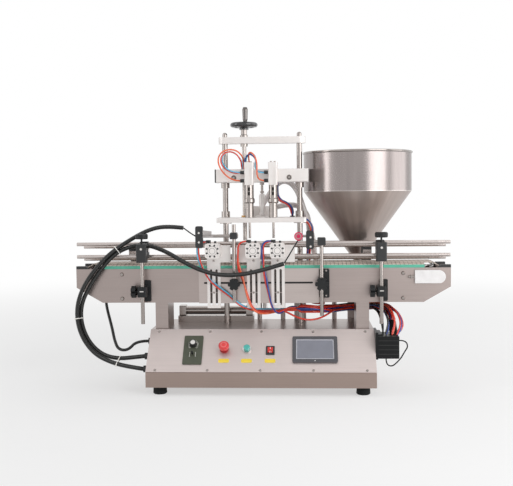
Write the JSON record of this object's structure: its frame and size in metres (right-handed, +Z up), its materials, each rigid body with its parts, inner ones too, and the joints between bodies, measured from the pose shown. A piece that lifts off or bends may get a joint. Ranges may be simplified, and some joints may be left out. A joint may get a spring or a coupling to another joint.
{
  "type": "filling machine",
  "caption": "Bench filling machine with a slat chain conveyor, lifting filling heads, pneumatic bottle stoppers, a metering pump and a conical hopper.",
  "frame": {"origin": "on the floor, under the middle of the machine's length and depth", "axes": "+X along the conveyor to the operator's right, +Y to the back, +Z up"},
  "size_m": [1.176, 0.52, 0.8913],
  "materials": {
    "stainless_dark": "brushed sheet",
    "stainless": "brushed",
    "polished_steel": "polished",
    "rubber_black": "matte",
    "black_plastic": "fine grain",
    "black_gloss": "moulded, glossy",
    "red_plastic": "moulded",
    "teal_plastic": "moulded",
    "grey_plastic": "fine grain",
    "green_plastic": "extruded",
    "pale_plastic": "moulded",
    "pale_aluminium": "satin",
    "painted_pale": "satin",
    "motor_grey": "satin",
    "blue_tube": "smooth",
    "pale_hose": "smooth"
  },
  "bodies": {
    "frame": {"base_cabinet": "stainless_dark", "control_panel": "stainless", "rubber_feet": "rubber_black", "panel_screws": "polished_steel", "switch_frames": "black_plastic", "touch_screen": "grey_plastic", "conveyor_legs": "stainless", "front_side_plate": "stainless", "rear_side_plate": "stainless", "slat_chain": "pale_plastic", "wear_strips": "green_plastic", "end_fittings": "painted_pale", "gear_motor": "motor_grey", "slotted_plate": "stainless", "stopper_brackets": "pale_aluminium", "stopper_cylinders": "pale_aluminium", "side_clamps": "black_plastic", "sensor_stands": "stainless", "columns": "polished_steel", "top_bar": "pale_aluminium", "hopper": "polished_steel", "metering_pump": "stainless", "valve_block": "black_plastic", "cable_conduits": "black_plastic", "frame_tubes": "blue_tube", "product_hoses": "pale_hose"},
    "speed_knob": {"speed_knob": "black_plastic"},
    "run_lever": {"run_lever": "polished_steel"},
    "stop_button": {"stop_button": "red_plastic"},
    "start_button": {"start_button": "teal_plastic"},
    "power_rocker": {"power_rocker": "red_plastic"},
    "drive_shaft": {"drive_shaft": "stainless"},
    "idler_shaft": {"idler_shaft": "stainless"},
    "stopper_left": {"stopper_rod_left": "polished_steel"},
    "stopper_middle": {"stopper_rod_middle": "polished_steel"},
    "stopper_right": {"stopper_rod_right": "polished_steel"},
    "front_posts": {"front_guard_posts": "black_plastic"},
    "front_rails": {"front_guard_rails": "stainless"},
    "rear_posts": {"rear_guard_posts": "black_plastic"},
    "rear_rails": {"rear_guard_rails": "stainless"},
    "height_knob_left": {"height_knob_left": "black_plastic"},
    "height_knob_right": {"height_knob_right": "black_plastic"},
    "star_knob_left": {"star_knob_left": "black_plastic"},
    "star_knob_right": {"star_knob_right": "black_plastic"},
    "head_knob_left": {"head_knob_left": "black_plastic"},
    "head_knob_right": {"head_knob_right": "black_plastic"},
    "spindle": {"spindle": "polished_steel", "handwheel": "black_gloss"},
    "wheel_handle": {"wheel_handle": "black_gloss"},
    "lift": {"lift_plate": "pale_aluminium", "dive_cylinder": "polished_steel", "lift_tubes": "pale_hose"},
    "beam": {"beam": "pale_aluminium", "beam_fittings": "stainless", "head_cylinders": "pale_aluminium", "filling_valves": "polished_steel", "head_tubes": "blue_tube"},
    "stem_left": {"valve_stem_left": "polished_steel"},
    "stem_right": {"valve_stem_right": "polished_steel"},
    "pump_yoke": {"pump_yoke": "pale_aluminium"}
  },
  "joints": [
    {"name": "speed_turn", "type": "hinge", "parent": "frame", "child": "speed_knob", "pos_m": [-0.21, -0.20262, 0.14849], "axis": [0, -0.7446, 0.6675], "range_deg": [0, 270]},
    {"name": "run_tilt", "type": "hinge", "parent": "frame", "child": "run_lever", "pos_m": [-0.21, -0.22382, 0.12184], "axis": [1, 0, 0], "range_deg": [-12, 12]},
    {"name": "stop_press", "type": "slide", "parent": "frame", "child": "stop_button", "axis": [0, -0.7446, 0.6675], "range_m": [-0.004, 0]},
    {"name": "start_press", "type": "slide", "parent": "frame", "child": "start_button", "axis": [0, -0.7446, 0.6675], "range_m": [-0.003, 0], "stiffness_N_per_m": 300, "springref_m": 0.003},
    {"name": "power_rock", "type": "hinge", "parent": "frame", "child": "power_rocker", "pos_m": [0.029, -0.20868, 0.12974], "axis": [1, 0, 0], "range_deg": [-8, 8]},
    {"name": "drive_turn", "type": "hinge", "parent": "frame", "child": "drive_shaft", "pos_m": [-0.5334, -0.093, 0.3509], "axis": [0, 1, 0], "continuous": true},
    {"name": "idler_turn", "type": "hinge", "parent": "frame", "child": "idler_shaft", "pos_m": [0.5334, -0.093, 0.3509], "axis": [0, 1, 0], "continuous": true},
    {"name": "stopper_left_push", "type": "slide", "parent": "frame", "child": "stopper_left", "axis": [0, 1, 0], "range_m": [0, 0.024]},
    {"name": "stopper_middle_push", "type": "slide", "parent": "frame", "child": "stopper_middle", "axis": [0, 1, 0], "range_m": [0, 0.024]},
    {"name": "stopper_right_push", "type": "slide", "parent": "frame", "child": "stopper_right", "axis": [0, 1, 0], "range_m": [0, 0.024]},
    {"name": "front_guard_height", "type": "slide", "parent": "frame", "child": "front_posts", "axis": [0, 0, 1], "range_m": [-0.008, 0]},
    {"name": "front_guard_reach", "type": "slide", "parent": "front_posts", "child": "front_rails", "axis": [0, 1, 0], "range_m": [0, 0.015]},
    {"name": "rear_guard_height", "type": "slide", "parent": "frame", "child": "rear_posts", "axis": [0, 0, 1], "range_m": [0, 0.008]},
    {"name": "rear_guard_reach", "type": "slide", "parent": "rear_posts", "child": "rear_rails", "axis": [0, 1, 0], "range_m": [-0.015, 0]},
    {"name": "height_knob_left_turn", "type": "hinge", "parent": "frame", "child": "height_knob_left", "pos_m": [-0.37, -0.182, 0.31], "axis": [1, 0, 0], "range_deg": [0, 360]},
    {"name": "height_knob_right_turn", "type": "hinge", "parent": "frame", "child": "height_knob_right", "pos_m": [0.371, -0.182, 0.31], "axis": [1, 0, 0], "range_deg": [0, 360]},
    {"name": "star_knob_left_turn", "type": "hinge", "parent": "frame", "child": "star_knob_left", "pos_m": [-0.082, -0.185, 0.333], "axis": [0, 1, 0], "range_deg": [0, 360]},
    {"name": "star_knob_right_turn", "type": "hinge", "parent": "frame", "child": "star_knob_right", "pos_m": [0.1885, -0.185, 0.333], "axis": [0, 1, 0], "range_deg": [0, 360]},
    {"name": "head_knob_left_turn", "type": "hinge", "parent": "front_posts", "child": "head_knob_left", "pos_m": [-0.37, -0.182, 0.475], "axis": [0, 0, 1], "range_deg": [0, 360]},
    {"name": "head_knob_right_turn", "type": "hinge", "parent": "front_posts", "child": "head_knob_right", "pos_m": [0.371, -0.182, 0.475], "axis": [0, 0, 1], "range_deg": [0, 360]},
    {"name": "spindle_turn", "type": "hinge", "parent": "frame", "child": "spindle", "pos_m": [-0.0585, -0.019, 0.82], "axis": [0, 0, 1], "range_deg": [-3601, 451]},
    {"name": "handle_spin", "type": "hinge", "parent": "spindle", "child": "wheel_handle", "pos_m": [-0.0515, -0.056, 0.86], "axis": [0, 0, 1], "continuous": true},
    {"name": "lift_height", "type": "slide", "parent": "frame", "child": "lift", "axis": [0, 0, 1], "range_m": [-0.04, 0.005]},
    {"name": "head_dive", "type": "slide", "parent": "lift", "child": "beam", "axis": [0, 0, 1], "range_m": [0, 0.035]},
    {"name": "stem_left_open", "type": "slide", "parent": "beam", "child": "stem_left", "axis": [0, 0, 1], "range_m": [0, 0.008]},
    {"name": "stem_right_open", "type": "slide", "parent": "beam", "child": "stem_right", "axis": [0, 0, 1], "range_m": [0, 0.008]},
    {"name": "pump_stroke", "type": "slide", "parent": "frame", "child": "pump_yoke", "axis": [1, 0, 0], "range_m": [0, 0.04]}
  ],
  "couplings": [
    {"joint": "spindle_turn", "follows": "lift_height", "rad_per_m": 1570.8},
    {"joint": "idler_turn", "follows": "drive_turn", "ratio": 1}
  ]
}
